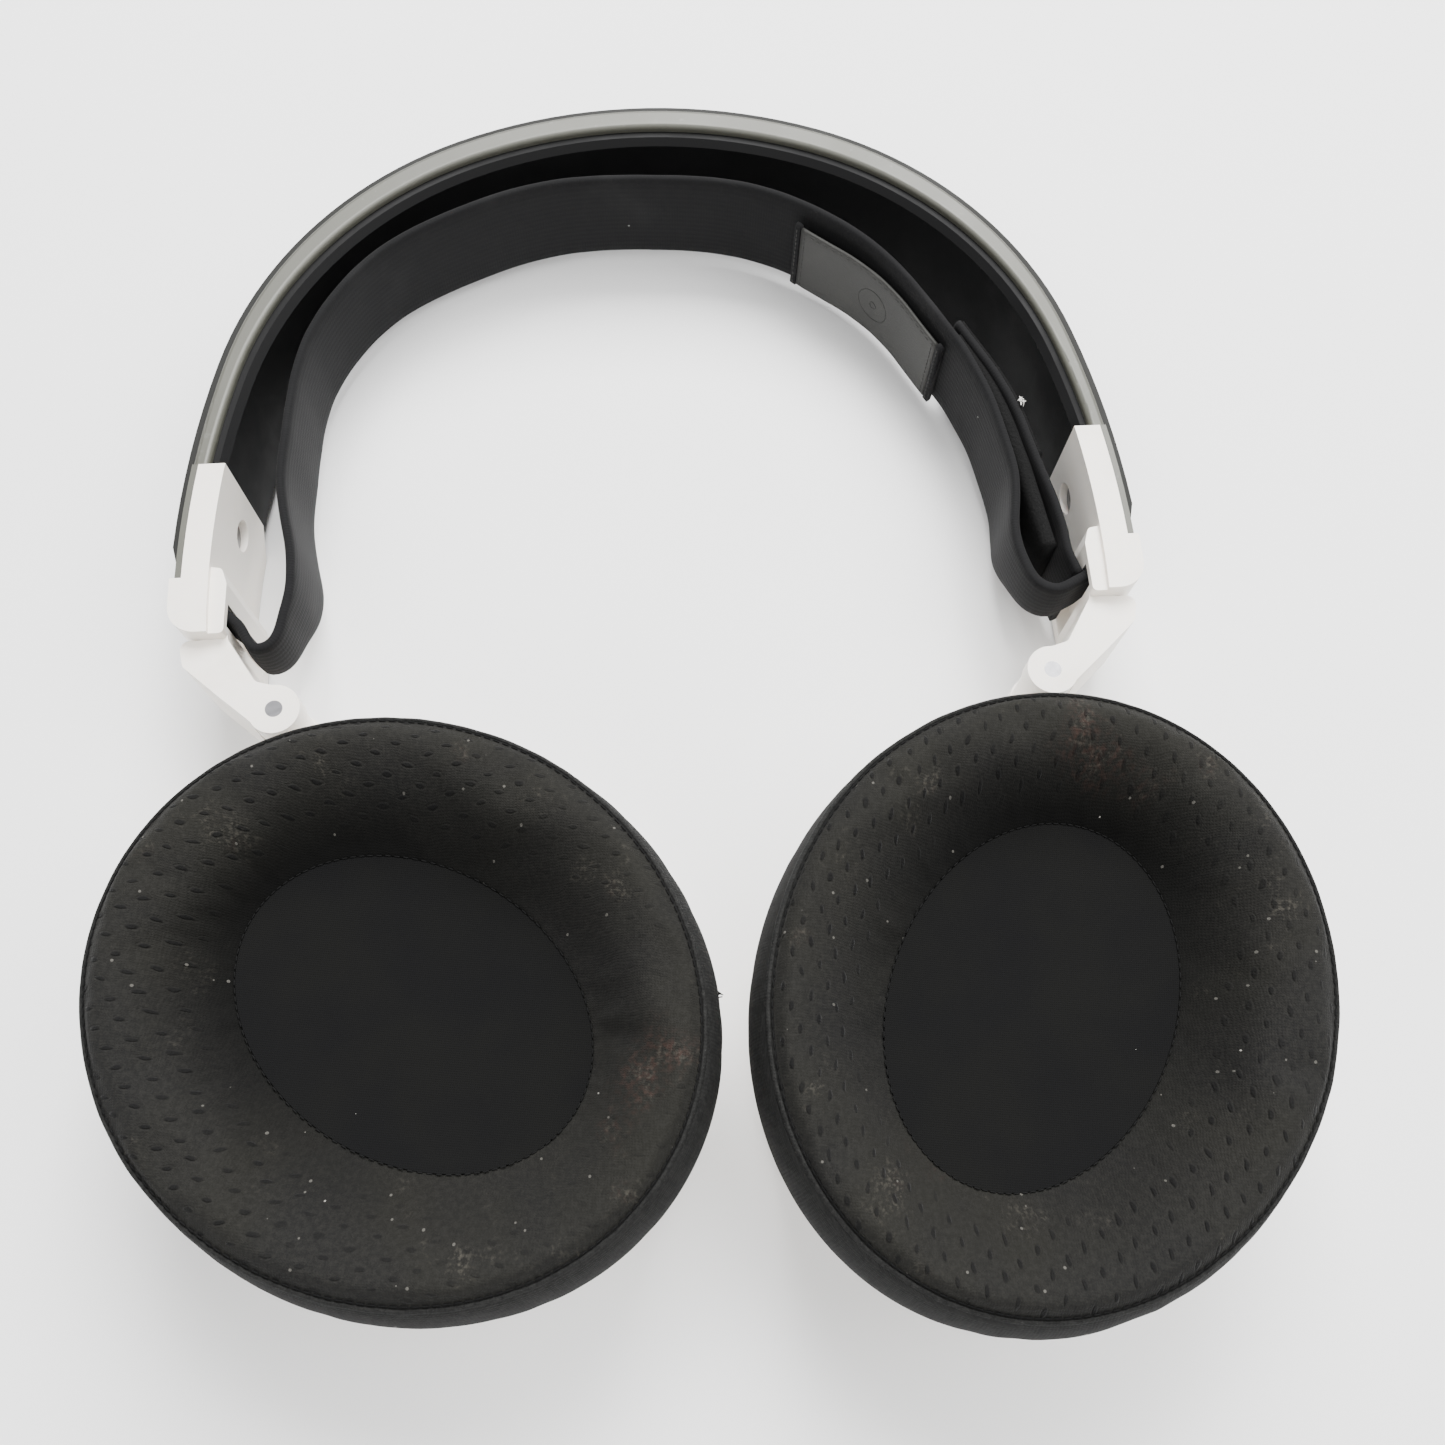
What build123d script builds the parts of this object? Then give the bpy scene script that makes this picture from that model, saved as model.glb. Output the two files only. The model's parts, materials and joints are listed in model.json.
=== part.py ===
from build123d import *
import math
import os

os.makedirs("parts", exist_ok=True)

# Over-ear headphones lying flat: the headband stands on its edge and both cups are swivelled
# with their cushions up. Millimetres, +X to the right, +Y to the crown of the headband, +Z up.
# Shapes are drawn about the headband's plane of symmetry (X = 0) and moved by ORIGIN at the end,
# so that the part's origin lies on the table under the middle of the whole.

ORIGIN = (5.0, 98.4)

# Headband: three arcs on each side, tangent to each other
BAND_WIDTH = 28.0
BAND_MID = BAND_WIDTH / 2
CROWN_Y = 214.0
ARC_RADII = (96.0, 74.0, 183.0)
ARC_ANGLES = (0.0, 22.0, 76.0, 94.0)
# Depths below the outer surface, at the crown and at the sides
SURFACE = (0.0, 0.0)
SKIN = (1.2, 1.2)
CHANNEL = (3.4, 2.3)
STRIP = (4.2, 3.0)
FRAME = (5.6, 3.7)
LINER = (8.2, 6.0)
LIP = (2.3, 2.3)
PLATE = (7.0, 7.0)
PLATE_FOOT = (0.3, 0.3)
SKIN_MARGIN = 0.9
LINER_MARGIN = 1.5
LINER_CHAMFER = 1.2
CHANNEL_MARGIN = 4.0
STRIP_MARGIN = 5.5
PLATE_TOP_Y = 134.5
PLATE_END_Y = 101.5
FRAME_END_Y = 112.0
STRIP_END_Y = 137.0
SCREW_RECESS = 2.6
SCREW_RECESS_RADIUS = 3.0
PLATE_SCREW_HEAD = 1.4
FRAME_ROUND = 0.9
PLATE_ROUND = 5.0
PLATE_BEVEL = 7.0
SKIN_POINT = 9.0

# Fixed necks and the tilt hinges
PIVOT = (67.0, 88.0)
NECK_ARM = (
    (84.0, 101.4), (83.0, 96.6), (77.0, 91.2), (68.6, 83.9), (64.6, 91.6), (70.5, 93.2), (75.6, 101.4),
    (75.6, 105.6), (79.0, 105.6), (79.0, 101.4),
)
NECK_BLOCK = ((79.5, 101.5), (75.6, 101.5), (75.6, 111.0), (76.6, 113.9), (79.5, 114.4))
NECK_ARM_Z = (5.5, 24.5)
NECK_BLOCK_Z = (1.0, 27.0)
NECK_ARM_ROUND = 1.6
NECK_BLOCK_ROUND = 0.9
HINGE_MID = 15.0
EAR_RADIUS = 4.4
BARREL_RADIUS = 4.0
BARREL_WIDTH = 9.0
BARREL_GAP = 0.2
PIN_RADIUS = 1.5
PIN_CLEARANCE = 0.03
SLOT_CENTER = (77.4, 106.8)
SLOT_SIZE = (7.0, 3.4, 22.0)
SLOT_SLANT = 37.0

# Hangers: distances along the swivel axis, measured from the tilt hinge towards the cup
TILT = {"left": 25.5, "right": 12.4}
HANGER_LENGTH = 58.35
SHANK_WIDTH = 5.6
COLLAR = (6.0, 8.6)
WASHER = (8.65, 9.1)
BOSS = (9.2, 20.0)
CLIP = (20.4, 21.3)
STEM_END = 23.0
COLLAR_RADIUS = 5.0
BOSS_RADIUS = 4.7
WASHER_RADIUS = 4.8
STEM_RADIUS = 2.6
STEM_CLEARANCE = 0.04
GROOVE_RADIUS = 2.0
CLIP_RADIUS = 4.2

# Cups: ovals are given as half length and half width
CUP_SLANT = 23.2
CUSHION_SLANT = {"left": 29.9, "right": 16.5}
SHELL_OVAL = (47.0, 41.0)
SHELL_Z = (1.4, 20.0)
SHELL_WALL = 2.4
SHELL_FLOOR = 2.2
SHELL_ROUND = 6.0
SHELL_ROUND_INSIDE = 4.0
COVER_OVAL = (38.0, 32.0)
COVER_THICKNESS = 2.2
COVER_ROUND = 0.7
POST_SPOT = (24.0, 26.0)
POST_RADIUS = 3.0
SCREW_RADIUS = 1.1
SCREW_HEAD = (2.4, 1.2)
SCREW_START_Z = 8.0
HEX_RADIUS = 1.1
BAFFLE_OVAL = (44.4, 38.4)
BAFFLE_Z = (17.6, 19.6)
DRIVER_RADIUS = 20.0
DRIVER_Z = (13.0, 17.6)
MAGNET_RADIUS = 9.0
MAGNET_Z = (8.0, 14.0)
CONE_RADIUS = 17.9
CONE_Z = (16.4, 16.7)
DOME_RADIUS = 6.2
DOME_CURVE = 16.4
DOME_DROP = 15.3
GRILLE_RADIUS = 21.5
GRILLE_THICKNESS = 0.8
GRILLE_HOLE = 1.3
GRILLE_PITCH = 4.4
GRILLE_RINGS = 4
RING_OVAL = (47.6, 41.6)
RING_HOLE = (36.0, 29.0)
RING_Z = (20.0, 22.0)
CUSHION_OVAL = (49.2, 43.2)
CUSHION_Z = (22.0, 42.0)
CUSHION_ROUND = 8.0
CUSHION_FOOT_ROUND = 1.2
WELL_OVAL = (29.7, 21.8)
WELL_MOUTH = (37.0, 29.5)
WELL_Z = 28.2
SCRIM_THICKNESS = 0.6
SOCKET_Z = 10.0
SOCKET_FACE = 46.2
SOCKET_RADIUS = 3.6
SOCKET_BORE = 1.78
SOCKET_DEPTH = 14.0
SOCKET_SNOUT = 7.0
SOCKET_BODY = (8.0, 10.0, 7.0)
BOARD_SIZE = (16.0, 10.0, 1.2)
BOARD_Y = -24.0

# Suspension strap and what is on it: routes from the left end over the crown to the right end
STRAP_Z = (4.0, 25.0)
STRAP_THICKNESS = 2.4
STRAP_ROUTE = (
    (-77.6, 106.9), (-74.4, 104.2), (-69.4, 97.4), (-65.8, 105.0), (-67.8, 138.0), (-60.5, 172.0),
    (-36.0, 191.7), (0.0, 198.2), (34.0, 188.6), (57.0, 160.0), (65.4, 130.0), (64.6, 110.0),
    (68.4, 101.2), (74.4, 104.5), (77.6, 106.9),
)
TAIL_ROUTE = ((73.6, 109.6), (73.0, 117.0), (70.2, 131.0), (66.8, 145.0), (60.6, 159.4))
TAIL_THICKNESS = 2.0
PATCH_ROUTE = ((31.8, 187.2), (45.9, 174.6), (55.5, 158.2))
PATCH_THICKNESS = 1.0
PATCH_Z = (4.6, 24.4)


def slab(face, bottom, top):
    """A flat solid between two heights."""
    return Pos(0, 0, bottom) * extrude(face, top - bottom)


def oval(half_sizes):
    """An oval face with its long axis along Y."""
    length, width = half_sizes
    return Ellipse(width, length)


def shrunk(half_sizes, amount):
    return (half_sizes[0] - amount, half_sizes[1] - amount)


def rod_y(radius, start, end, height):
    """A round bar along Y between two positions."""
    return Pos(0, (start + end) / 2, height) * Rot(90, 0, 0) * Cylinder(radius, abs(end - start))


def rod_z(radius, bottom, top):
    """A round upright bar between two heights."""
    return Pos(0, 0, (bottom + top) / 2) * Cylinder(radius, top - bottom)


def ribbon(route, thickness, bottom, top):
    """A strip of even thickness standing on edge along a smooth route."""
    path = Spline(*route)
    section = Plane(origin=path @ 0, z_dir=path % 0, x_dir=(0, 0, 1)) * Rectangle(top - bottom, thickness)
    return Pos(0, 0, (bottom + top) / 2) * sweep(section, path)


# ---- Headband ----

def arch_radii(depths):
    """Radii of the arch's three arcs at a depth under its outer surface."""
    sines = [math.sin(math.radians(angle)) for angle in ARC_ANGLES]
    shoulder_depth = (depths[1] * sines[2] - depths[0] * sines[1]) / (sines[2] - sines[1])
    return (ARC_RADII[0] - depths[0], ARC_RADII[1] - shoulder_depth, ARC_RADII[2] - depths[1])


def arch_points(depths):
    """Ends and middles of the arcs of the arch's right half, at a depth under its outer surface."""
    points = [(0.0, CROWN_Y - depths[0])]
    for radius, start, end in zip(arch_radii(depths), ARC_ANGLES, ARC_ANGLES[1:]):
        turn = math.radians(start)
        center = (points[-1][0] - radius * math.sin(turn), points[-1][1] - radius * math.cos(turn))
        for angle in ((start + end) / 2, end):
            turn = math.radians(angle)
            points.append((center[0] + radius * math.sin(turn), center[1] + radius * math.cos(turn)))
    return points


def arch_line(depths):
    """The arch from its left end over the crown to its right end, with its two end points."""
    right = arch_points(depths)
    left = [(-x, y) for x, y in right]
    arcs = [ThreePointArc(left[2], right[0], right[2])]
    for half in (left, right):
        arcs += [ThreePointArc(*half[2:5]), ThreePointArc(*half[4:7])]
    return arcs, left[-1], right[-1]


def arch_strip(outer, inner, margin, lowest_y):
    """A strip along the arch between two depths, cut off level at its ends."""
    outer_arcs, outer_left, outer_right = arch_line(outer)
    inner_arcs, inner_left, inner_right = arch_line(inner)
    ends = [Line(outer_left, inner_left), Line(outer_right, inner_right)]
    strip = slab(make_face(outer_arcs + inner_arcs + ends), margin, BAND_WIDTH - margin)
    return strip - above_or_below(lowest_y, -1)


def above_or_below(level_y, side):
    """Everything on one side of a level across the headband."""
    return Pos(0, level_y + side * 200, 0) * Box(400, 400, 400)


def rim_edges(solid, margin):
    """The long edges along both rims of a strip."""
    rims = [e for e in solid.edges() if abs(abs(e.center().Z - BAND_MID) - BAND_MID + margin) < 0.01]
    return [edge for edge in rims if edge.length > 12]


def make_outer_skin():
    """Thin dark strip round the outside of the headband, its ends thinned to a point."""
    skin = arch_strip(SURFACE, SKIN, SKIN_MARGIN, FRAME_END_Y)
    outer_x = arch_points(SURFACE)[-1][0]
    inner_x = outer_x - SKIN[0] - 0.1
    wedge = Polyline((outer_x + 1, FRAME_END_Y + SKIN_POINT), (inner_x, FRAME_END_Y),
                     (outer_x + 5, FRAME_END_Y), close=True)
    cut = slab(make_face(wedge), 0, BAND_WIDTH)
    return skin - cut - mirror(cut, Plane.YZ)


def make_band_frame():
    """Light grey channel that carries the steel strip and the liner, with a thin lip at each end."""
    rim = arch_strip(SKIN, FRAME, 0, PLATE_TOP_Y)
    rim = fillet(rim_edges(rim, 0), FRAME_ROUND)
    rim -= arch_strip(CHANNEL, LINER, CHANNEL_MARGIN, 0)
    lip = arch_strip(SKIN, LIP, 0, FRAME_END_Y) - above_or_below(PLATE_TOP_Y, 1)
    return rim + lip


def make_spring_strip():
    return arch_strip(CHANNEL, STRIP, STRIP_MARGIN, STRIP_END_Y)


def make_band_liner():
    """Black inner face of the headband, with a tongue that fills the frame's channel."""
    face = arch_strip(FRAME, LINER, LINER_MARGIN, PLATE_TOP_Y)
    radii = arch_radii(LINER)
    inner_rims = [e for e in rim_edges(face, LINER_MARGIN) if min(abs(e.radius - r) for r in radii) < 0.01]
    face = chamfer(inner_rims, LINER_CHAMFER)
    tongue = arch_strip(CHANNEL, FRAME, CHANNEL_MARGIN, PLATE_TOP_Y)
    return face + (tongue - make_spring_strip())


def make_end_plate():
    """Right end plate: a pale block inside the end of the frame, with its lower end rounded."""
    plate = arch_strip(LIP, PLATE, 0, PLATE_END_Y) - above_or_below(PLATE_TOP_Y, 1)
    foot = arch_strip(PLATE_FOOT, PLATE, 0, PLATE_END_Y) - above_or_below(FRAME_END_Y - 0.1, 1)
    plate = (plate + foot) - Pos(-200, 0, 0) * Box(400, 800, 400)
    upright = plate.edges().filter_by(Axis.Z).sort_by(Axis.Y)
    plate = fillet(upright[:2].sort_by(Axis.X)[-1], PLATE_ROUND)
    rear_corner = Pos(80, PLATE_TOP_Y, 0) * Rot(45, 0, 0) * Box(40, PLATE_BEVEL, PLATE_BEVEL)
    recess = screw_spot() * rod_z(SCREW_RECESS_RADIUS, -5, SCREW_RECESS)
    hole = screw_spot() * rod_z(PIN_RADIUS, 0, PLATE[1])
    return plate - rear_corner - recess - hole


def screw_spot():
    """The screw's place on the end plate's inner face; local +Z points outward, along +X."""
    return Pos(*arch_points(PLATE)[5], BAND_MID) * Rot(0, 90, 0)


def make_end_plate_screw():
    """Right end plate's screw: its head lies at the bottom of the round recess."""
    head = rod_z(SCREW_RECESS_RADIUS - 0.3, SCREW_RECESS - PLATE_SCREW_HEAD, SCREW_RECESS)
    drive = slab(RegularPolygon(HEX_RADIUS, 6), SCREW_RECESS - PLATE_SCREW_HEAD, SCREW_RECESS - 0.6)
    shank = rod_z(PIN_RADIUS, SCREW_RECESS, PLATE[1] - LIP[1] - 0.1)
    return screw_spot() * ((head - drive) + shank)


# ---- Necks and tilt hinges ----

def make_neck(end_plate):
    """Right neck: a fixed arm from the end plate to the fork of the tilt hinge."""
    arm = slab(fillet(make_face(Polyline(*NECK_ARM, close=True)).vertices(), NECK_ARM_ROUND), *NECK_ARM_Z)
    block = make_face(Polyline(*NECK_BLOCK, close=True))
    block = slab(fillet(block.vertices(), NECK_BLOCK_ROUND), *NECK_BLOCK_Z)
    ears = Pos(*PIVOT) * rod_z(EAR_RADIUS, *NECK_ARM_Z)
    half_gap = BARREL_WIDTH / 2 + BARREL_GAP
    gap = rod_z(BARREL_RADIUS + 0.9, HINGE_MID - half_gap, HINGE_MID + half_gap)
    bore = rod_z(PIN_RADIUS, *NECK_ARM_Z)
    slot = Pos(*SLOT_CENTER, sum(STRAP_Z) / 2) * Rot(0, 0, SLOT_SLANT) * Box(*SLOT_SIZE)
    return (arm + block + ears) - Pos(*PIVOT) * (gap + bore) - slot - end_plate


def make_tilt_pin():
    """Right tilt pin, pressed into both ears of the fork."""
    return Pos(*PIVOT) * rod_z(PIN_RADIUS, *NECK_ARM_Z)


# ---- Hangers, drawn with the tilt hinge at the origin and the cup towards -Y ----

def make_hanger():
    """Barrel on the tilt pin, a collar, and the stem on which the cup swivels."""
    half = BARREL_WIDTH / 2
    barrel = rod_z(BARREL_RADIUS, HINGE_MID - half, HINGE_MID + half)
    shank = Pos(0, -COLLAR[0] / 2, HINGE_MID) * Box(SHANK_WIDTH, COLLAR[0], BARREL_WIDTH - 1)
    collar = rod_y(COLLAR_RADIUS, -COLLAR[0], -COLLAR[1], HINGE_MID)
    stem = rod_y(STEM_RADIUS, -COLLAR[1], -STEM_END, HINGE_MID)
    groove = rod_y(STEM_RADIUS + 1, -CLIP[0], -CLIP[1], HINGE_MID)
    groove -= rod_y(GROOVE_RADIUS, -CLIP[0], -CLIP[1], HINGE_MID)
    bore = rod_z(PIN_RADIUS + PIN_CLEARANCE, 0, BAND_WIDTH)
    return (barrel + shank + collar + stem) - groove - bore


def make_swivel_washer():
    washer = rod_y(WASHER_RADIUS, -WASHER[0], -WASHER[1], HINGE_MID)
    return washer - rod_y(STEM_RADIUS + 0.1, -WASHER[0], -WASHER[1], HINGE_MID)


def make_retaining_clip():
    """Open ring that sits in the stem's groove and keeps the cup on."""
    clip = rod_y(CLIP_RADIUS, -CLIP[0], -CLIP[1], HINGE_MID)
    clip -= rod_y(GROOVE_RADIUS, -CLIP[0], -CLIP[1], HINGE_MID)
    mouth = Pos(0, -CLIP[0], HINGE_MID - CLIP_RADIUS) * Box(2 * GROOVE_RADIUS, 4, 2 * CLIP_RADIUS)
    return clip - mouth


# ---- Cups, drawn with the cup's middle at the origin, the swivel axis along +Y ----

def post_spots():
    """Where the four posts and their screws stand."""
    across, along = POST_SPOT
    return [Pos(x, y, 0) for x in (across, -across) for y in (along, -along)]


def make_cup_shell(with_socket):
    """White shell: a dished oval with the swivel boss, four posts and, on one side, a socket hole."""
    shell = slab(oval(SHELL_OVAL), *SHELL_Z)
    shell = fillet(shell.edges().group_by(Axis.Z)[0], SHELL_ROUND)
    floor_z = SHELL_Z[0] + SHELL_FLOOR
    hollow = slab(oval(shrunk(SHELL_OVAL, SHELL_WALL)), floor_z, SHELL_Z[1])
    shell -= fillet(hollow.edges().group_by(Axis.Z)[0], SHELL_ROUND_INSIDE)
    shell -= slab(oval(COVER_OVAL), 0, COVER_THICKNESS)
    for spot in post_spots():
        post = rod_z(POST_RADIUS, floor_z - 1, BAFFLE_Z[0])
        shell += spot * (post - rod_z(SCREW_RADIUS, SCREW_START_Z, BAND_WIDTH))
    shell = Rot(0, 0, CUP_SLANT) * shell
    boss_ends = (HANGER_LENGTH - BOSS[0], HANGER_LENGTH - BOSS[1])
    shell += rod_y(BOSS_RADIUS, *boss_ends, HINGE_MID)
    shell -= rod_y(STEM_RADIUS + STEM_CLEARANCE, *boss_ends, HINGE_MID)
    if with_socket:
        shell -= rod_y(SOCKET_RADIUS, -SOCKET_FACE - 5, -SOCKET_FACE + SOCKET_SNOUT + 1, SOCKET_Z)
    return shell


def make_outer_cover():
    """Oval plate let into the outside of the shell; the cup lies on it."""
    cover = slab(oval(shrunk(COVER_OVAL, 0.1)), 0, COVER_THICKNESS)
    cover = fillet(cover.edges().group_by(Axis.Z)[0], COVER_ROUND)
    return Rot(0, 0, CUP_SLANT) * cover


def make_baffle():
    """Plate that closes the shell and carries the driver, cut away round the swivel stem."""
    baffle = slab(oval(BAFFLE_OVAL), *BAFFLE_Z) - rod_z(CONE_RADIUS, 0, BAND_WIDTH)
    head_radius, head_height = SCREW_HEAD
    for spot in post_spots():
        baffle -= spot * rod_z(SCREW_RADIUS + 0.3, 0, BAND_WIDTH)
        baffle -= spot * rod_z(head_radius + 0.1, BAFFLE_Z[1] - head_height, BAND_WIDTH)
    baffle = Rot(0, 0, CUP_SLANT) * baffle
    return baffle - Pos(0, HANGER_LENGTH - STEM_END + 9.4, HINGE_MID) * Box(12, 20, 20)


def make_shell_screws():
    """Four screws that hold the baffle on the shell's posts."""
    head_radius, head_height = SCREW_HEAD
    head = rod_z(head_radius, BAFFLE_Z[1] - head_height, BAFFLE_Z[1])
    drive = slab(RegularPolygon(HEX_RADIUS, 6), BAFFLE_Z[1] - 0.7, BAFFLE_Z[1] + 1)
    screw = (head - drive) + rod_z(SCREW_RADIUS, SCREW_START_Z, BAFFLE_Z[1] - head_height)
    return Compound([Rot(0, 0, CUP_SLANT) * (spot * screw) for spot in post_spots()])


def make_driver_frame():
    basket = rod_z(DRIVER_RADIUS, *DRIVER_Z) - rod_z(DRIVER_RADIUS - 1.8, DRIVER_Z[0] + 1, DRIVER_Z[1])
    return basket - rod_z(MAGNET_RADIUS, 0, BAND_WIDTH)


def make_driver_magnet():
    return fillet(rod_z(MAGNET_RADIUS, *MAGNET_Z).edges(), 0.5)


def make_driver_diaphragm():
    """Thin disc with a shallow dome in its middle."""
    disc = rod_z(CONE_RADIUS, *CONE_Z) - rod_z(DOME_RADIUS, 0, BAND_WIDTH)
    ball = Sphere(DOME_CURVE) - Sphere(DOME_CURVE - CONE_Z[1] + CONE_Z[0])
    dome = Pos(0, 0, CONE_Z[1] - DOME_DROP) * ball
    return disc + (dome & rod_z(DOME_RADIUS + 0.4, CONE_Z[0], BAND_WIDTH))


def make_driver_grille():
    """Perforated disc over the driver."""
    grille = rod_z(GRILLE_RADIUS, BAFFLE_Z[1], BAFFLE_Z[1] + GRILLE_THICKNESS)
    hole = rod_z(GRILLE_HOLE, 0, BAND_WIDTH)
    holes = [hole]
    for ring in range(1, GRILLE_RINGS + 1):
        count = 6 * ring
        place = Pos(GRILLE_PITCH * ring, 0, 0)
        holes += [Rot(0, 0, 360 * number / count) * place * hole for number in range(count)]
    return grille - holes


def make_cushion_ring():
    """Ring that the cushion is stretched over; it snaps on the rim of the shell."""
    return Rot(0, 0, CUP_SLANT) * slab(oval(RING_OVAL) - oval(RING_HOLE), *RING_Z)


def make_ear_cushion(slant):
    """Soft oval ring round the ear, its inside wall sloping down to the scrim."""
    cushion = slab(oval(CUSHION_OVAL), *CUSHION_Z)
    cushion = fillet(cushion.edges().group_by(Axis.Z)[-1], CUSHION_ROUND)
    cushion = fillet(cushion.edges().group_by(Axis.Z)[0], CUSHION_FOOT_ROUND)
    mouth = Pos(0, 0, CUSHION_Z[1]) * oval(WELL_MOUTH)
    well = loft([Pos(0, 0, WELL_Z) * oval(WELL_OVAL), mouth]) + slab(oval(WELL_OVAL), 0, WELL_Z)
    return Rot(0, 0, slant) * (cushion - well)


def make_cushion_scrim(slant):
    """Thin cloth across the bottom of the cushion's well."""
    return Rot(0, 0, slant) * slab(oval(WELL_OVAL), WELL_Z - SCRIM_THICKNESS, WELL_Z)


def make_terminal_board():
    """Small board in the bottom of the shell where the driver's wires end."""
    return Pos(0, BOARD_Y, SHELL_Z[0] + SHELL_FLOOR + BOARD_SIZE[2] / 2) * Box(*BOARD_SIZE)


def make_audio_socket():
    """Socket for a plug, its mouth flush with the lower rim of the left shell."""
    snout = rod_y(SOCKET_RADIUS, -SOCKET_FACE, -SOCKET_FACE + SOCKET_SNOUT, SOCKET_Z)
    body = Pos(0, -SOCKET_FACE + SOCKET_SNOUT + SOCKET_BODY[1] / 2, SOCKET_Z) * Box(*SOCKET_BODY)
    return (snout + body) - rod_y(SOCKET_BORE, -SOCKET_FACE, -SOCKET_FACE + SOCKET_DEPTH, SOCKET_Z)


# ---- Suspension strap ----

def make_suspension_strap():
    """Elastic strap that carries the load on the head, hung between the two necks."""
    return ribbon(STRAP_ROUTE, STRAP_THICKNESS, *STRAP_Z)


def make_strap_tail():
    """Folded-back end of the strap on its outer side, held by hook-and-loop."""
    return ribbon(TAIL_ROUTE, TAIL_THICKNESS, *STRAP_Z)


def make_strap_patch():
    """Soft grey badge sewn on the hollow side of the strap."""
    return ribbon(PATCH_ROUTE, PATCH_THICKNESS, *PATCH_Z)


# ---- Placing ----

def both_sides(right_piece):
    """A piece and its mirror image."""
    return {"right": right_piece, "left": mirror(right_piece, Plane.YZ)}


def on_hanger(shape, side):
    """Moves a piece drawn in a hanger's own frame to its place; it is drawn for the left side."""
    if side == "right":
        return Pos(PIVOT[0], PIVOT[1], 0) * Rot(0, 0, -TILT[side]) * mirror(shape, Plane.YZ)
    return Pos(-PIVOT[0], PIVOT[1], 0) * Rot(0, 0, TILT[side]) * shape


def on_cup(shape, side):
    return on_hanger(Pos(0, -HANGER_LENGTH, 0) * shape, side)


def build_headband():
    end_plates = both_sides(make_end_plate())
    necks = both_sides(make_neck(end_plates["right"]))
    pins = both_sides(make_tilt_pin())
    screws = both_sides(make_end_plate_screw())
    nodes = {
        "band_frame": make_band_frame(),
        "outer_skin": make_outer_skin(),
        "spring_strip": make_spring_strip(),
        "band_liner": make_band_liner(),
        "end_plate_screws": Compound(list(screws.values())),
        "suspension_strap": make_suspension_strap(),
        "strap_tail": make_strap_tail(),
        "strap_patch": make_strap_patch(),
    }
    for side in ("left", "right"):
        nodes[side + "_end_plate"] = end_plates[side]
        nodes[side + "_neck"] = necks[side]
        nodes[side + "_tilt_pin"] = pins[side]
    return nodes


def build_side(side):
    """The hanger and the cup of one side."""
    slant = CUSHION_SLANT[side]
    on_stem = {
        "hanger": make_hanger(),
        "swivel_washer": make_swivel_washer(),
        "retaining_clip": make_retaining_clip(),
    }
    in_cup = {
        "cup_shell": make_cup_shell(side == "left"),
        "outer_cover": make_outer_cover(),
        "baffle": make_baffle(),
        "shell_screws": make_shell_screws(),
        "driver_frame": make_driver_frame(),
        "driver_magnet": make_driver_magnet(),
        "driver_diaphragm": make_driver_diaphragm(),
        "driver_grille": make_driver_grille(),
        "cushion_ring": make_cushion_ring(),
        "ear_cushion": make_ear_cushion(slant),
        "cushion_scrim": make_cushion_scrim(slant),
        "terminal_board": make_terminal_board(),
    }
    if side == "left":
        in_cup["audio_socket"] = make_audio_socket()
    nodes = {side + "_" + name: on_hanger(shape, side) for name, shape in on_stem.items()}
    nodes.update({side + "_" + name: on_cup(shape, side) for name, shape in in_cup.items()})
    return nodes


model = {**build_headband(), **build_side("left"), **build_side("right")}
for node, shape in model.items():
    export_step(Pos(-ORIGIN[0], -ORIGIN[1], 0) * shape, "parts/" + node + ".step")
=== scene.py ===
import bpy
import json
import math
import numpy as np
from mathutils import Matrix, Vector, noise


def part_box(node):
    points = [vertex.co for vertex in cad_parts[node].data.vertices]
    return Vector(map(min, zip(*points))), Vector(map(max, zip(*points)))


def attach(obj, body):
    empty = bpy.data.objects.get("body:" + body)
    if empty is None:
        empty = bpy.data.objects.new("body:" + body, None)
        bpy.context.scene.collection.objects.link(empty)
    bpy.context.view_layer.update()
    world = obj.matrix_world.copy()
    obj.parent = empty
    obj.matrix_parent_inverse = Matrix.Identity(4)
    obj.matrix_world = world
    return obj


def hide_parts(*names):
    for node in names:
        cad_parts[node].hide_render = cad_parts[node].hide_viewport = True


# Looks of the over-ear headphones. Metres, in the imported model's frame; MM turns millimetres into metres.
MM = 0.001

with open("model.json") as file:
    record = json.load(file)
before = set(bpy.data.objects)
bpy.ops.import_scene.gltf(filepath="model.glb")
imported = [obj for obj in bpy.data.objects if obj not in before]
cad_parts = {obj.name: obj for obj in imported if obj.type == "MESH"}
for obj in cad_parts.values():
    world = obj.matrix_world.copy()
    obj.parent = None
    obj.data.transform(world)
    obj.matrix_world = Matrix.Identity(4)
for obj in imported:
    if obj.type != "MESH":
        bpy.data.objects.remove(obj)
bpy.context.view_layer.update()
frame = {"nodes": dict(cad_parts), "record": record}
JOINTS = {joint["name"]: joint for joint in frame["record"]["behaviour"]["joints"]}

# The headband's plane of symmetry and the height from which Y is counted in the design
BAND_X = (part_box("band_frame")[0].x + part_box("band_frame")[1].x) / 2
BAND_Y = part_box("outer_skin")[1].y - 214.0 * MM
SIDES = ("left", "right")

# Ear cushions: half lengths and half widths, the turn in degrees of each oval against its swivel axis,
# and the turn of the knit laid over it
CUSHION_OVAL = (49.2 * MM, 43.2 * MM)
WELL_OVAL = (29.7 * MM, 21.8 * MM)
CUSHION_SLANT = {"left": 29.9, "right": 16.5}
KNIT_TURN = {"left": -8.0, "right": 82.0}
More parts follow.
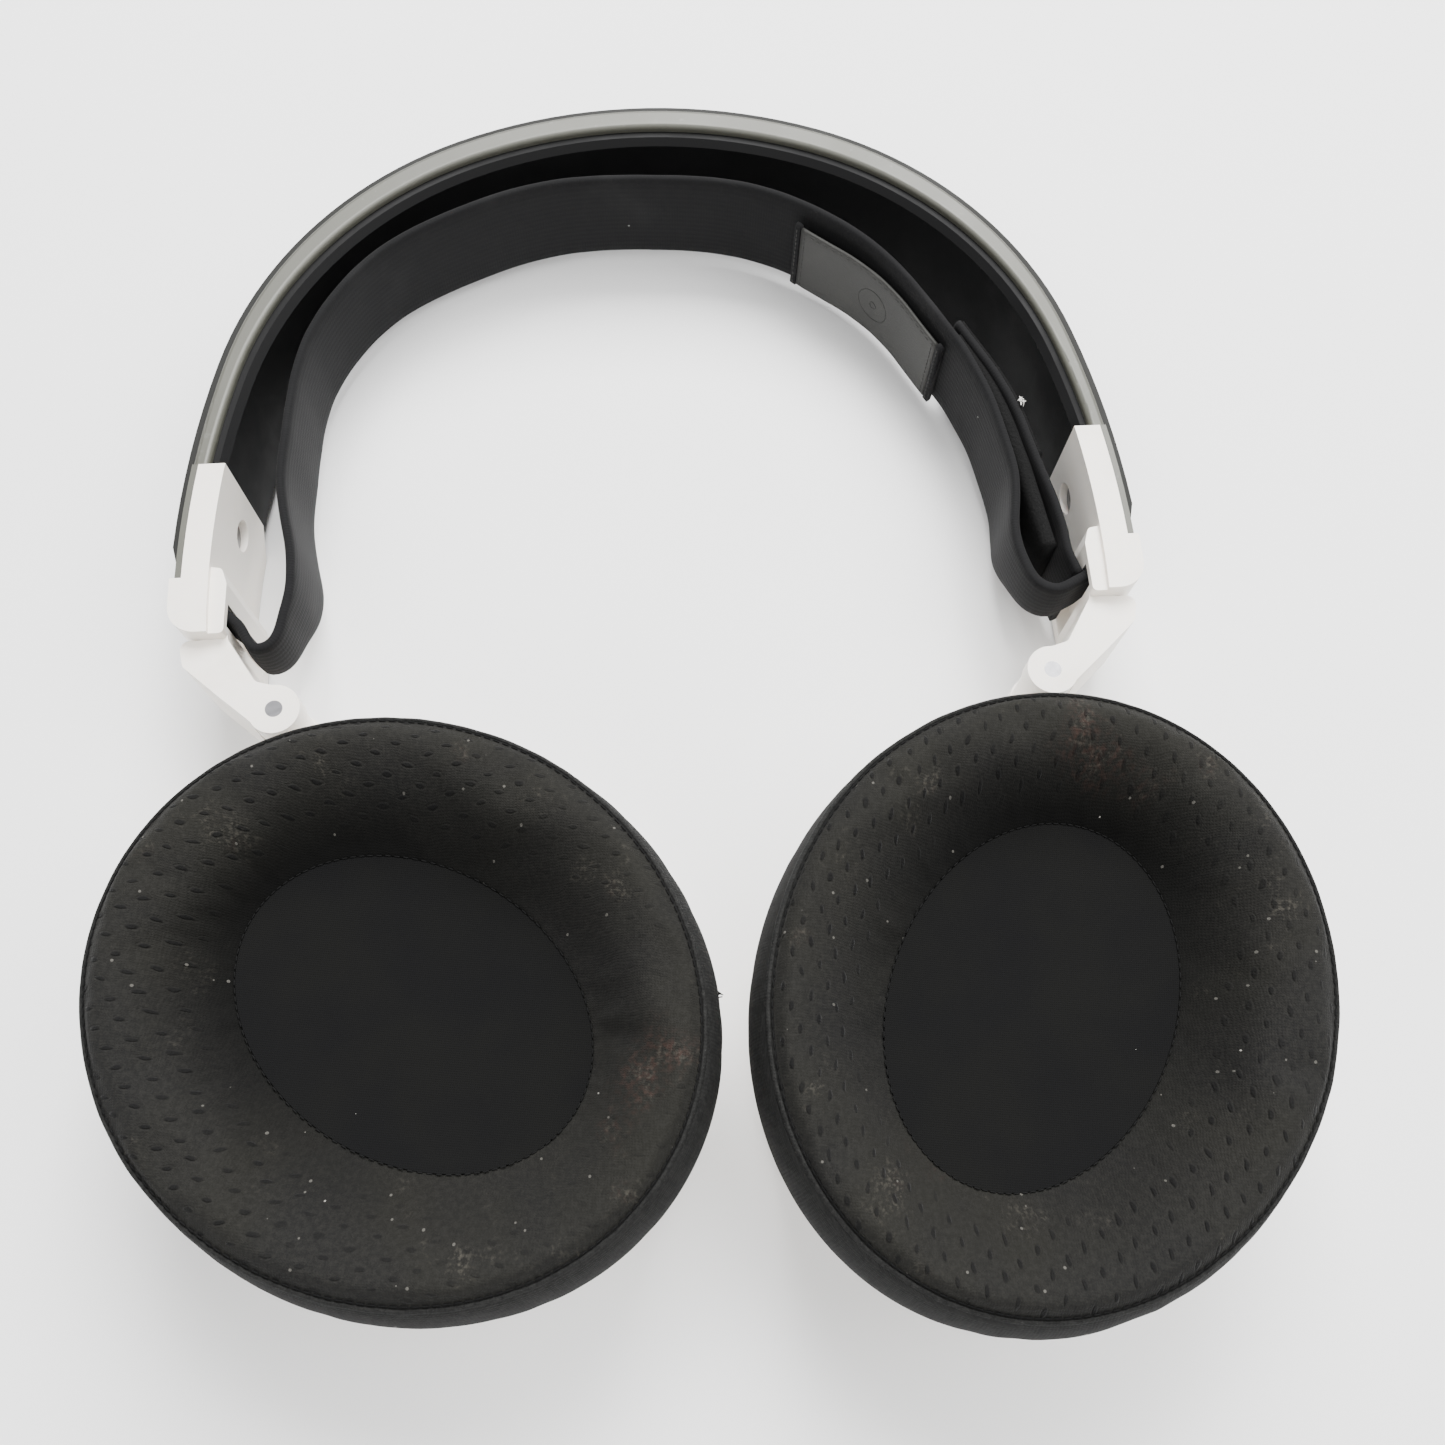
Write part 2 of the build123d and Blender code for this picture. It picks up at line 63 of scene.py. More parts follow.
# Directions on the table: where each cushion has slumped, where the painted shade on its slope is darkest,
# and where the painted shade in its slots is strongest, with how strong it is on average and how much that
# varies
SLUMP = {"left": Vector((0.72, -0.69)), "right": Vector((-0.62, -0.78))}
SHADE = {"left": Vector((-0.62, 0.78)), "right": Vector((0.35, 0.94))}
SLOT_SHOW = {"left": Vector((-0.93, 0.37)), "right": Vector((-0.85, -0.5))}
SLOT_SHOW_LEVEL = {"left": 0.55, "right": 0.75}
SLOT_SHOW_SWING = 0.35
SLUMP_REACH = 0.066
SLUMP_SPREAD = 0.25
# The knit's slots repeat along these two steps, in metres; each slot lies along the first axis
SLOT_STEPS = ((3.02 * MM, 1.49 * MM), (1.98 * MM, -2.61 * MM))
SLOT_SIZE = (0.72 * MM, 0.30 * MM)
SCRIM_SAG = 1.6 * MM

# Section of a cushion: how far in from the rim (0) to the well (1), and the height above its base
CUSHION_SECTION = (
    (1.000, 0.2), (0.500, 0.15), (0.060, 0.2), (0.016, 1.0), (0.002, 3.5), (-0.004, 7.0), (-0.002, 10.5),
    (0.010, 13.6), (0.034, 16.0), (0.062, 17.3), (0.084, 17.55), (0.100, 17.95), (0.150, 19.0),
    (0.230, 19.8), (0.320, 19.9), (0.420, 19.3), (0.520, 18.0), (0.620, 16.0), (0.720, 13.4),
    (0.820, 10.6), (0.910, 8.1), (0.970, 6.5), (0.994, 5.9), (1.006, 5.3), (1.004, 3.0),
)
CUSHION_COLUMNS = 216
# Rows of the section: the seam, how much of the slump each row takes, the soft top between two rows,
# the puckered edge of the well, and the rows that are sewn or glued down
SEAM_STEP = 10
SLUMP_SHARE = {7: 0.25, 8: 0.6, 9: 0.9, 10: 1.0, 11: 1.0, 12: 0.9, 13: 0.65, 14: 0.4, 15: 0.2, 16: 0.1}
TOP_STEPS = (11, 22)
WELL_STEPS = (21, 22, 23)
HELD_SEAM_STEPS = (9, 10, 11)
HALF_HELD_STEPS = (8, 12)
HALF_HELD = 0.35
# Painted shade on the slope into the well: where it starts to darken, and over how much of the way in
SHADE_START = 0.58
SHADE_REACH = 0.36
PIPING_SECTION = (
    (0.030, 16.1), (0.036, 16.9), (0.052, 17.55), (0.068, 17.5), (0.074, 16.9), (0.060, 16.0),
)
PIPING_COLUMNS = 240
SCRIM_COLUMNS = 120
SCRIM_ROWS = 14
# Settling of the cushions' cloth: frames, and how far a point may move in all and upward
SETTLE_FRAMES = 14
SETTLE_LIMIT = 0.9 * MM
SETTLE_RISE = 0.35 * MM
WALL_SETTLE = 0.25

# Suspension strap, measured from the headband's plane of symmetry, in millimetres
STRAP_ROUTE = (
    (-77.6, 106.9), (-74.4, 104.2), (-69.9, 99.2), (-65.8, 106.5), (-67.8, 138.0), (-60.5, 172.0),
    (-36.0, 191.7), (0.0, 198.2), (34.0, 188.6), (57.0, 160.0), (65.4, 130.0), (64.6, 110.0),
    (68.9, 103.4), (74.4, 104.9), (77.6, 106.9),
)
TAIL_ROUTE = ((74.6, 106.4), (73.4, 111.0), (73.0, 117.0), (70.2, 131.0), (66.8, 145.0), (59.4, 161.0))
HOOK_ROUTE = ((70.4, 112.5), (69.2, 121.0), (67.8, 131.0), (64.7, 145.0), (59.3, 158.3))
PATCH_ROUTE = ((31.8, 187.2), (45.9, 174.6), (55.5, 158.2))
ROUTE_STEP = 0.9
STRAP_WIDTH = 21.4
STRAP_MID = 14.5
STRAP_THICKNESS = 1.7
TAIL_THICKNESS = 1.6
# The strap is gathered towards its ends, from this far away and over this length
GATHER_START = 34.0
GATHER_LENGTH = 22.0
STRAP_GATHER = 0.48
PATCH_WIDTH = 17.0
PATCH_MID = 13.1
PATCH_THICKNESS = 0.9
BINDING_THICKNESS = 1.3
BINDING_SPANS = (0.3, 1.5)
PATCH_THREAD = 0.11 * MM
ROW_STITCHES = 13
EDGE_STITCHES = 22
# The pressed ring and the dot on the patch: radius in millimetres, and the number of short lines
MOTIF_RINGS = ((3.9, 48), (0.8, 12))
MOTIF_LIFT = 0.42

# Darkest and middle tone of the knit, and its worn tone
KNIT_COLORS = ((0.0066, 0.0066, 0.0067), (0.0096, 0.0094, 0.0078), (0.0205, 0.0198, 0.0176))


# ---- Small helpers ----

def join_mesh(name, parts, material):
    """One mesh object from (vertices, faces) pairs."""
    vertices, faces = [], []
    for part_vertices, part_faces in parts:
        start = len(vertices)
        vertices += [tuple(v) for v in part_vertices]
        faces += [tuple(start + i for i in face) for face in part_faces]
    mesh = bpy.data.meshes.new(name)
    mesh.from_pydata(vertices, [], faces)
    mesh.materials.append(material)
    mesh.shade_smooth()
    piece = bpy.data.objects.new(name, mesh)
    bpy.context.scene.collection.objects.link(piece)
    return piece


def ring_grid(rows, columns, closed_rows):
    """Quads between rows of points, each row a closed ring; closed_rows joins the last row to the first."""
    last = rows if closed_rows else rows - 1
    faces = []
    for row in range(last):
        upper = (row + 1) % rows
        for column in range(columns):
            after = (column + 1) % columns
            faces.append((row * columns + column, row * columns + after,
                          upper * columns + after, upper * columns + column))
    return faces


def smooth_route(points, step):
    """Evenly spaced points and their directions on a rounded curve through a few points."""
    spline = bpy.data.curves.new("route", "CURVE")
    spline.dimensions = "3D"
    spline.resolution_u = 24
    line = spline.splines.new("BEZIER")
    line.bezier_points.add(len(points) - 1)
    for point, place in zip(line.bezier_points, points):
        point.co = Vector((place[0], place[1], 0))
        point.handle_left_type = point.handle_right_type = "AUTO"
    holder = bpy.data.objects.new("route", spline)
    mesh = bpy.data.meshes.new_from_object(holder)
    dense = np.array([v.co[:2] for v in mesh.vertices])
    bpy.data.objects.remove(holder)
    run = np.concatenate(([0], np.cumsum(np.linalg.norm(np.diff(dense, axis=0), axis=1))))
    count = max(3, round(run[-1] / step) + 1)
    spots = np.linspace(0, run[-1], count)
    even = np.stack([np.interp(spots, run, dense[:, axis]) for axis in (0, 1)], axis=1)
    along = np.gradient(even, axis=0)
    along /= np.linalg.norm(along, axis=1)[:, None]
    return even, along, spots


def band_point(x, y, z):
    """A place in the design's millimetres as a place in the scene."""
    return Vector((BAND_X + x * MM, BAND_Y + y * MM, z * MM))


def set_uv(piece, values):
    """Gives each vertex its own flat coordinates, in metres."""
    layer = piece.data.uv_layers.new(name="flat")
    for loop in piece.data.loops:
        layer.data[loop.index].uv = values[loop.vertex_index]


# ---- Materials ----

class Shader:
    """A material's node tree, with short calls for the nodes used here."""

    def __init__(self, name, color, roughness):
        self.material = bpy.data.materials.new(name)
        self.material.use_nodes = True
        self.tree = self.material.node_tree
        self.surface = self.tree.nodes["Principled BSDF"]
        self.surface.inputs["Base Color"].default_value = (*color, 1)
        self.surface.inputs["Roughness"].default_value = roughness

    def node(self, kind, inputs=(), **settings):
        made = self.tree.nodes.new(kind)
        for key, value in settings.items():
            setattr(made, key, value)
        for socket, value in dict(inputs).items():
            if isinstance(value, bpy.types.NodeSocket):
                self.tree.links.new(value, made.inputs[socket])
            else:
                made.inputs[socket].default_value = value
        return made

    def place(self, kind="Object"):
        return self.node("ShaderNodeTexCoord").outputs[kind]

    def noise(self, vector, scale, detail=3.0, roughness=0.55):
        inputs = {"Vector": vector, "Scale": scale, "Detail": detail, "Roughness": roughness}
        return self.node("ShaderNodeTexNoise", inputs).outputs["Fac"]

    def math(self, operation, a, b=0.0):
        return self.node("ShaderNodeMath", {0: a, 1: b}, operation=operation).outputs[0]

    def between(self, value, low, high):
        """0 at low, 1 at high, smooth between them."""
        inputs = {"Value": value, "From Min": low, "From Max": high}
        return self.node("ShaderNodeMapRange", inputs, interpolation_type="SMOOTHSTEP").outputs[0]

    def mix(self, factor, a, b):
        made = self.node("ShaderNodeMix", {0: factor}, data_type="RGBA")
        for socket, value in ((6, a), (7, b)):
            if isinstance(value, bpy.types.NodeSocket):
                self.tree.links.new(value, made.inputs[socket])
            else:
                made.inputs[socket].default_value = (*value, 1)
        return made.outputs[2]

    def color(self, value):
        self.tree.links.new(value, self.surface.inputs["Base Color"])

    def roughness(self, value):
        self.tree.links.new(value, self.surface.inputs["Roughness"])

    def bump(self, height, distance):
        inputs = {"Height": height, "Distance": distance, "Strength": 1.0}
        normal = self.node("ShaderNodeBump", inputs).outputs["Normal"]
        self.tree.links.new(normal, self.surface.inputs["Normal"])

    def split(self, vector):
        made = self.node("ShaderNodeSeparateXYZ", {0: vector})
        return made.outputs[0], made.outputs[1]

    def ribs(self, value, pitch):
        """A wave from 0 to 1 that repeats every pitch metres."""
        wave = self.math("SINE", self.math("MULTIPLY", value, 2 * math.pi / pitch))
        return self.math("ADD", self.math("MULTIPLY", wave, 0.5), 0.5)

    def specks(self, vector, scale, size, share):
        """Scattered dots of lint: 1 on a dot, 0 elsewhere."""
        cells = self.node("ShaderNodeTexVoronoi", {"Vector": vector, "Scale": scale})
        dot = self.math("LESS_THAN", cells.outputs["Distance"], size)
        chosen = self.split(cells.outputs["Color"])[0]
        return self.math("MULTIPLY", dot, self.math("LESS_THAN", chosen, share))


def slot_pattern(shader, across, along):
    """How near each place is to the middle of the knit's nearest slot: under 1 inside it."""
    (ax, ay), (bx, by) = SLOT_STEPS
    scale = ax * by - bx * ay

    def weighted(first, first_weight, second, second_weight):
        return shader.math("ADD", shader.math("MULTIPLY", first, first_weight),
                           shader.math("MULTIPLY", second, second_weight))

    first = weighted(across, by / scale, along, -bx / scale)
    second = weighted(across, -ay / scale, along, ax / scale)
    first = shader.math("SUBTRACT", shader.math("FRACT", first), 0.5)
    second = shader.math("SUBTRACT", shader.math("FRACT", second), 0.5)
    side = weighted(first, ax / SLOT_SIZE[0], second, bx / SLOT_SIZE[0])
    up = weighted(first, ay / SLOT_SIZE[1], second, by / SLOT_SIZE[1])
    return shader.math("SQRT", weighted(shader.math("MULTIPLY", side, side), 1.0,
                                        shader.math("MULTIPLY", up, up), 1.0))


def knit_material():
    """Charcoal knit with staggered slots filled with painted shade, rubbed pale and brown in places, with
    lint on it, and painted shade on the slope into the well.
    """
    shader = Shader("cushion_knit_look", (0.04, 0.04, 0.038), 0.92)
    flat = shader.place("UV")
    warp = shader.node("ShaderNodeTexNoise", {"Vector": flat, "Scale": 230.0, "Detail": 2.0})
    shift = shader.node("ShaderNodeVectorMath", {0: warp.outputs["Color"], 1: (0.5, 0.5, 0.5)},
                        operation="SUBTRACT").outputs[0]
    shift = shader.node("ShaderNodeVectorMath", {0: shift, "Scale": 0.0017}, operation="SCALE").outputs[0]
    bent = shader.node("ShaderNodeVectorMath", {0: flat, 1: shift}, operation="ADD").outputs[0]
    across, along = shader.split(bent)
    reach = slot_pattern(shader, across, along)
    # The near-black fill of the slots is painted shade in each slot; its strength varies over each cushion,
    # strongest towards one side
    slot_show = shader.node("ShaderNodeAttribute", {}, attribute_name="slot_show").outputs["Fac"]
    inward = shader.node("ShaderNodeAttribute", {}, attribute_name="inward").outputs["Fac"]
    visible = shader.math("ADD", slot_show, shader.math("SUBTRACT", shader.noise(flat, 60.0, 3.0), 0.5))
    visible = shader.math("MULTIPLY", shader.between(visible, 0.0, 0.7), shader.between(inward, 0.9, 0.68))
    pressed = shader.math("ADD", shader.math("MULTIPLY", shader.noise(flat, 160.0, 1.0), 0.5), 0.55)
    slot = shader.math("MULTIPLY", visible, pressed)
    slot = shader.math("MULTIPLY", shader.between(reach, 1.35, 0.6), slot)
    lip = shader.math("MULTIPLY", shader.between(reach, 2.0, 1.35), visible)
    ribs = shader.math("MULTIPLY", shader.ribs(across, 0.46 * MM), shader.ribs(along, 0.40 * MM))
    fuzz = shader.noise(flat, 5200.0, 2.0)
    grain = shader.between(shader.noise(flat, 1300.0, 4.0, 0.75), 0.38, 0.66)
    dust = shader.math("MULTIPLY", shader.between(shader.noise(flat, 75.0, 5.0, 0.7), 0.54, 0.72),
                       shader.between(shader.noise(flat, 1500.0, 2.0), 0.45, 0.68))
    brown = shader.math("MULTIPLY", shader.between(shader.noise(flat, 38.0, 3.0), 0.60, 0.72),
                        shader.between(shader.noise(flat, 900.0, 2.0), 0.4, 0.75))
    tone = shader.between(shader.noise(flat, 34.0, 3.0), 0.35, 0.65)
    color = shader.mix(tone, KNIT_COLORS[0], KNIT_COLORS[1])
    color = shader.mix(shader.math("MULTIPLY", fuzz, 0.4), color, KNIT_COLORS[2])
    color = shader.mix(shader.math("MULTIPLY", grain, 0.45), color, KNIT_COLORS[2])
    color = shader.mix(shader.math("MULTIPLY", brown, 0.30), color, (0.075, 0.036, 0.028))
    color = shader.mix(shader.math("MULTIPLY", dust, 0.30), color, (0.12, 0.11, 0.09))
    # Painted shade on the slope into the well, darkest towards one side of each cushion
    painted_shade = shader.node("ShaderNodeAttribute", {}, attribute_name="painted_shade").outputs["Fac"]
    color = shader.mix(shader.math("MULTIPLY", painted_shade, 0.95), color, (0.0012, 0.0012, 0.0011))
    # Painted shade in the slots
    color = shader.mix(shader.math("MULTIPLY", slot, 0.85), color, (0.0035, 0.0035, 0.0038))
    color = shader.mix(shader.specks(flat, 620.0, 0.14, 0.10), color, (0.075, 0.072, 0.064))
    color = shader.mix(shader.specks(flat, 300.0, 0.040, 0.040), color, (0.24, 0.23, 0.21))
    shader.color(color)
    height = shader.math("SUBTRACT", shader.math("MULTIPLY", ribs, 0.16), slot)
    height = shader.math("ADD", height, shader.math("MULTIPLY", lip, 0.2))
    height = shader.math("ADD", height, shader.math("MULTIPLY", fuzz, 0.3))
    shader.bump(height, 0.26 * MM)
    shader.surface.inputs["Sheen Weight"].default_value = 0.03
    shader.surface.inputs["Sheen Roughness"].default_value = 0.4
    shader.surface.inputs["Specular IOR Level"].default_value = 0.12
    return shader.material


def wall_material():
    """Plain darker cloth of a cushion's side wall."""
    shader = Shader("cushion_wall_look", (0.02, 0.02, 0.02), 0.85)
    flat = shader.place("UV")
    across, along = shader.split(flat)
    weave = shader.math("MULTIPLY", shader.ribs(across, 0.5 * MM), shader.ribs(along, 0.5 * MM))
    fuzz = shader.noise(flat, 3000.0, 2.0)
    grain = shader.between(shader.noise(flat, 900.0, 4.0, 0.75), 0.35, 0.65)
    rough = shader.math("MULTIPLY", shader.math("ADD", fuzz, grain), 0.5)
    color = shader.mix(rough, (0.006, 0.006, 0.006), (0.021, 0.021, 0.020))
    color = shader.mix(shader.specks(flat, 380.0, 0.1, 0.03), color, (0.4, 0.4, 0.37))
    shader.color(color)
    shader.bump(shader.math("ADD", weave, fuzz), 0.06 * MM)
    shader.surface.inputs["Specular IOR Level"].default_value = 0.12
    return shader.material


def scrim_material():
    """Fine dark cloth with a few specks of lint."""
    shader = Shader("scrim_look", (0.016, 0.016, 0.016), 0.9)
    flat = shader.place("UV")
    across, along = shader.split(flat)
    weave = shader.math("MULTIPLY", shader.ribs(across, 0.34 * MM), shader.ribs(along, 0.34 * MM))
    stain = shader.between(shader.noise(flat, 60.0, 3.0), 0.35, 0.65)
    color = shader.mix(stain, (0.0046, 0.0046, 0.0048), (0.0053, 0.0053, 0.0051))
    color = shader.mix(shader.specks(flat, 150.0, 0.035, 0.2), color, (0.42, 0.42, 0.38))
    shader.color(color)
    shader.bump(weave, 0.05 * MM)
    shader.surface.inputs["Specular IOR Level"].default_value = 0.08
    return shader.material


def elastic_material():
    """Black woven elastic: faint ribs along its length, fine picks across, a little fluff."""
    shader = Shader("strap_elastic_look", (0.009, 0.009, 0.009), 0.85)
    flat = shader.place("UV")
    along, across = shader.split(flat)
    ribs = shader.ribs(across, 1.3 * MM)
    picks = shader.ribs(along, 0.55 * MM)
    fuzz = shader.noise(flat, 3800.0, 3.0)
    worn = shader.between(shader.noise(flat, 55.0, 4.0), 0.5, 0.75)
    color = shader.mix(fuzz, (0.0045, 0.0045, 0.0049), (0.0092, 0.0092, 0.0096))
    color = shader.mix(shader.math("MULTIPLY", worn, 0.2), color, (0.026, 0.026, 0.026))
    color = shader.mix(shader.specks(flat, 300.0, 0.07, 0.03), color, (0.2, 0.2, 0.19))
    shader.color(color)
    height = shader.math("ADD", shader.math("MULTIPLY", ribs, 0.3), shader.math("MULTIPLY", picks, 0.2))
    shader.bump(shader.math("ADD", height, shader.math("MULTIPLY", fuzz, 0.7)), 0.09 * MM)
    shader.surface.inputs["Sheen Weight"].default_value = 0.03
    shader.surface.inputs["Specular IOR Level"].default_value = 0.12
    return shader.material


def felt_material():
    """Fuzzy loop side of the strap's fastener."""
    shader = Shader("strap_loop_look", (0.012, 0.012, 0.012), 0.95)
    place = shader.place()
    fuzz = shader.noise(place, 1900.0, 4.0, 0.75)
    shader.color(shader.mix(fuzz, (0.003, 0.003, 0.003), (0.014, 0.014, 0.014)))
    shader.bump(fuzz, 0.5 * MM)
    shader.surface.inputs["Specular IOR Level"].default_value = 0.1
    return shader.material


def patch_material():
    """Soft matt grey skin with a faint pebbled grain and scuffs."""
    shader = Shader("patch_look", (0.075, 0.075, 0.076), 0.62)
    place = shader.place()
    grain = shader.node("ShaderNodeTexVoronoi", {"Vector": place, "Scale": 2600.0}).outputs["Distance"]
    scuff = shader.between(shader.noise(place, 190.0, 5.0, 0.7), 0.5, 0.75)
    color = shader.mix(scuff, (0.023, 0.023, 0.021), (0.038, 0.038, 0.035))
    shader.color(color)
    shader.roughness(shader.math("ADD", shader.math("MULTIPLY", scuff, 0.15), 0.6))
    shader.surface.inputs["Specular IOR Level"].default_value = 0.3
    shader.bump(grain, 0.05 * MM)
    return shader.material


def thread_material(name, color):
    """Matt sewing thread or loose fibre."""
    shader = Shader(name, color, 0.8)
    shader.bump(shader.noise(shader.place(), 6000.0, 2.0), 0.04 * MM)
    shader.surface.inputs["Specular IOR Level"].default_value = 0.1
    return shader.material


def lacquer_material():
    """Satin light grey lacquer, a little uneven, with dust and fine scratches."""
    shader = Shader("band_grey_look", (0.42, 0.42, 0.39), 0.38)
    place = shader.place()
    mottled = shader.noise(place, 60.0, 4.0)
    scratch = shader.node("ShaderNodeMapping", {"Vector": place, "Scale": (1.0, 1.0, 14.0)}).outputs[0]
    fine = shader.between(shader.noise(scratch, 420.0, 3.0, 0.7), 0.62, 0.72)
    color = shader.mix(mottled, (0.064, 0.064, 0.052), (0.088, 0.088, 0.072))
    color = shader.mix(shader.math("MULTIPLY", fine, 0.25), color, (0.16, 0.16, 0.15))
    shader.color(color)
    shader.roughness(shader.math("ADD", shader.math("MULTIPLY", mottled, 0.22), 0.33))
    shader.bump(shader.noise(place, 1500.0, 2.0), 0.01 * MM)
    shader.surface.inputs["Metallic"].default_value = 0.1
    return shader.material


def white_plastic():
    """Cream white plastic with a fine spark texture and a trace of handling."""
    shader = Shader("shell_white_look", (0.82, 0.79, 0.74), 0.46)
    place = shader.place()
    grime = shader.between(shader.noise(place, 70.0, 5.0, 0.65), 0.5, 0.8)
    color = shader.mix(shader.math("MULTIPLY", grime, 0.30), (0.93, 0.88, 0.81), (0.70, 0.63, 0.53))
    shader.color(color)
    shader.roughness(shader.math("ADD", shader.math("MULTIPLY", grime, 0.2), 0.42))
    shader.bump(shader.noise(place, 4200.0, 2.0), 0.018 * MM)
    shader.surface.inputs["Subsurface Weight"].default_value = 0.08
    shader.surface.inputs["Subsurface Radius"].default_value = (0.002, 0.0015, 0.001)
    return shader.material


def dark_plastic(name, color, roughness, grain):
    """Dark moulded plastic or elastomer with a fine grain and dull smears."""
    shader = Shader(name, color, roughness)
    place = shader.place()
    smear = shader.between(shader.noise(place, 45.0, 4.0), 0.35, 0.7)
    lighter = tuple(value * 1.5 + 0.0015 for value in color)
    shader.color(shader.mix(shader.math("MULTIPLY", smear, 0.6), color, lighter))
    shader.roughness(shader.math("ADD", shader.math("MULTIPLY", smear, 0.16), roughness - 0.08))
    shader.bump(shader.noise(place, 3300.0, 2.0), grain * MM)
    shader.surface.inputs["Specular IOR Level"].default_value = 0.16
    return shader.material


def steel_material(name, color):
    """Steel brushed along its height."""
    shader = Shader(name, color, 0.32)
    place = shader.node("ShaderNodeMapping", {"Vector": shader.place(), "Scale": (1.0, 1.0, 18.0)}).outputs[0]
    brushed = shader.noise(place, 900.0, 3.0)
    shader.roughness(shader.math("ADD", shader.math("MULTIPLY", brushed, 0.25), 0.2))
    shader.bump(brushed, 0.01 * MM)
    shader.surface.inputs["Metallic"].default_value = 1.0
    return shader.material


def dress_cad_nodes():
    """Gives every CAD node that stays visible its finish."""
    looks = {
        "band_grey": lacquer_material(),
        "skin_dark": dark_plastic("skin_dark_look", (0.014, 0.014, 0.013), 0.6, 0.05),
        "liner_black": dark_plastic("liner_black_look", (0.0022, 0.0022, 0.0024), 0.62, 0.02),
        "baffle_black": dark_plastic("baffle_black_look", (0.015, 0.015, 0.015), 0.6, 0.03),
        "shell_white": white_plastic(),
        "spring_steel": steel_material("spring_steel_look", (0.55, 0.55, 0.54)),
        "screw_steel": steel_material("screw_steel_look", (0.22, 0.22, 0.23)),
        "diaphragm_film": dark_plastic("diaphragm_look", (0.2, 0.2, 0.19), 0.35, 0.01),
        "board_green": dark_plastic("board_look", (0.02, 0.1, 0.045), 0.5, 0.02),
    }
    for entry in frame["record"]["subparts"]:
        look = looks.get(entry["material_slot"])
        if look is None:
            continue
        for slot in frame["nodes"][entry["node"]].material_slots:
            slot.material = look


# ---- Ear cushions ----

class Cup:
    """Where one cup lies: its middle, its swivel axis and the directions of its cushion's oval."""

    def __init__(self, side):
        self.side = side
        self.body = side + "_cup"
        low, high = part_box(side + "_ear_cushion")
        self.base = low.z
        self.middle = Vector(((low.x + high.x) / 2, (low.y + high.y) / 2, 0))
        hinge = Vector(JOINTS[side + "_tilt"]["pos_m"])
        to_hinge = (hinge - self.middle).to_2d()
        outward = 1 if side == "left" else -1
        turn = math.atan2(-to_hinge.x, to_hinge.y) + outward * math.radians(CUSHION_SLANT[side])
        self.long = Vector((-math.sin(turn), math.cos(turn), 0))
        self.short = Vector((math.cos(turn), math.sin(turn), 0))
        self.seed = 3.0 if side == "left" else 11.0

    def ring_point(self, inward, angle, height):
        """A point on the oval between the rim (0) and the well (1), at a height over the cushion's base."""
        length = CUSHION_OVAL[0] + (WELL_OVAL[0] - CUSHION_OVAL[0]) * inward
        width = CUSHION_OVAL[1] + (WELL_OVAL[1] - CUSHION_OVAL[1]) * inward
        flat = self.long * (length * math.cos(angle)) + self.short * (width * math.sin(angle))
        return self.middle + flat + Vector((0, 0, self.base + height))

    def slump(self, angle):
        """How far the seam has moved in from the rim where the cushion has slumped outward."""
        flat = self.long * math.cos(angle) + self.short * math.sin(angle)
        facing = flat.to_2d().normalized().dot(SLUMP[self.side])
        return SLUMP_REACH * max(0.0, facing + SLUMP_SPREAD)

    def wall_uv(self, place):
        """Flat coordinates for the side wall: round the cushion, and up it."""
        offset = place - self.middle
        return (math.atan2(offset.y, offset.x) * CUSHION_OVAL[1], place.z)

    def knit_uv(self, place):
        """Flat coordinates for the knit, which is laid over the cushion as one sheet."""
        turn = math.radians(KNIT_TURN[self.side])
        offset = place - self.middle
        return (offset.x * math.cos(turn) + offset.y * math.sin(turn),
                offset.y * math.cos(turn) - offset.x * math.sin(turn))


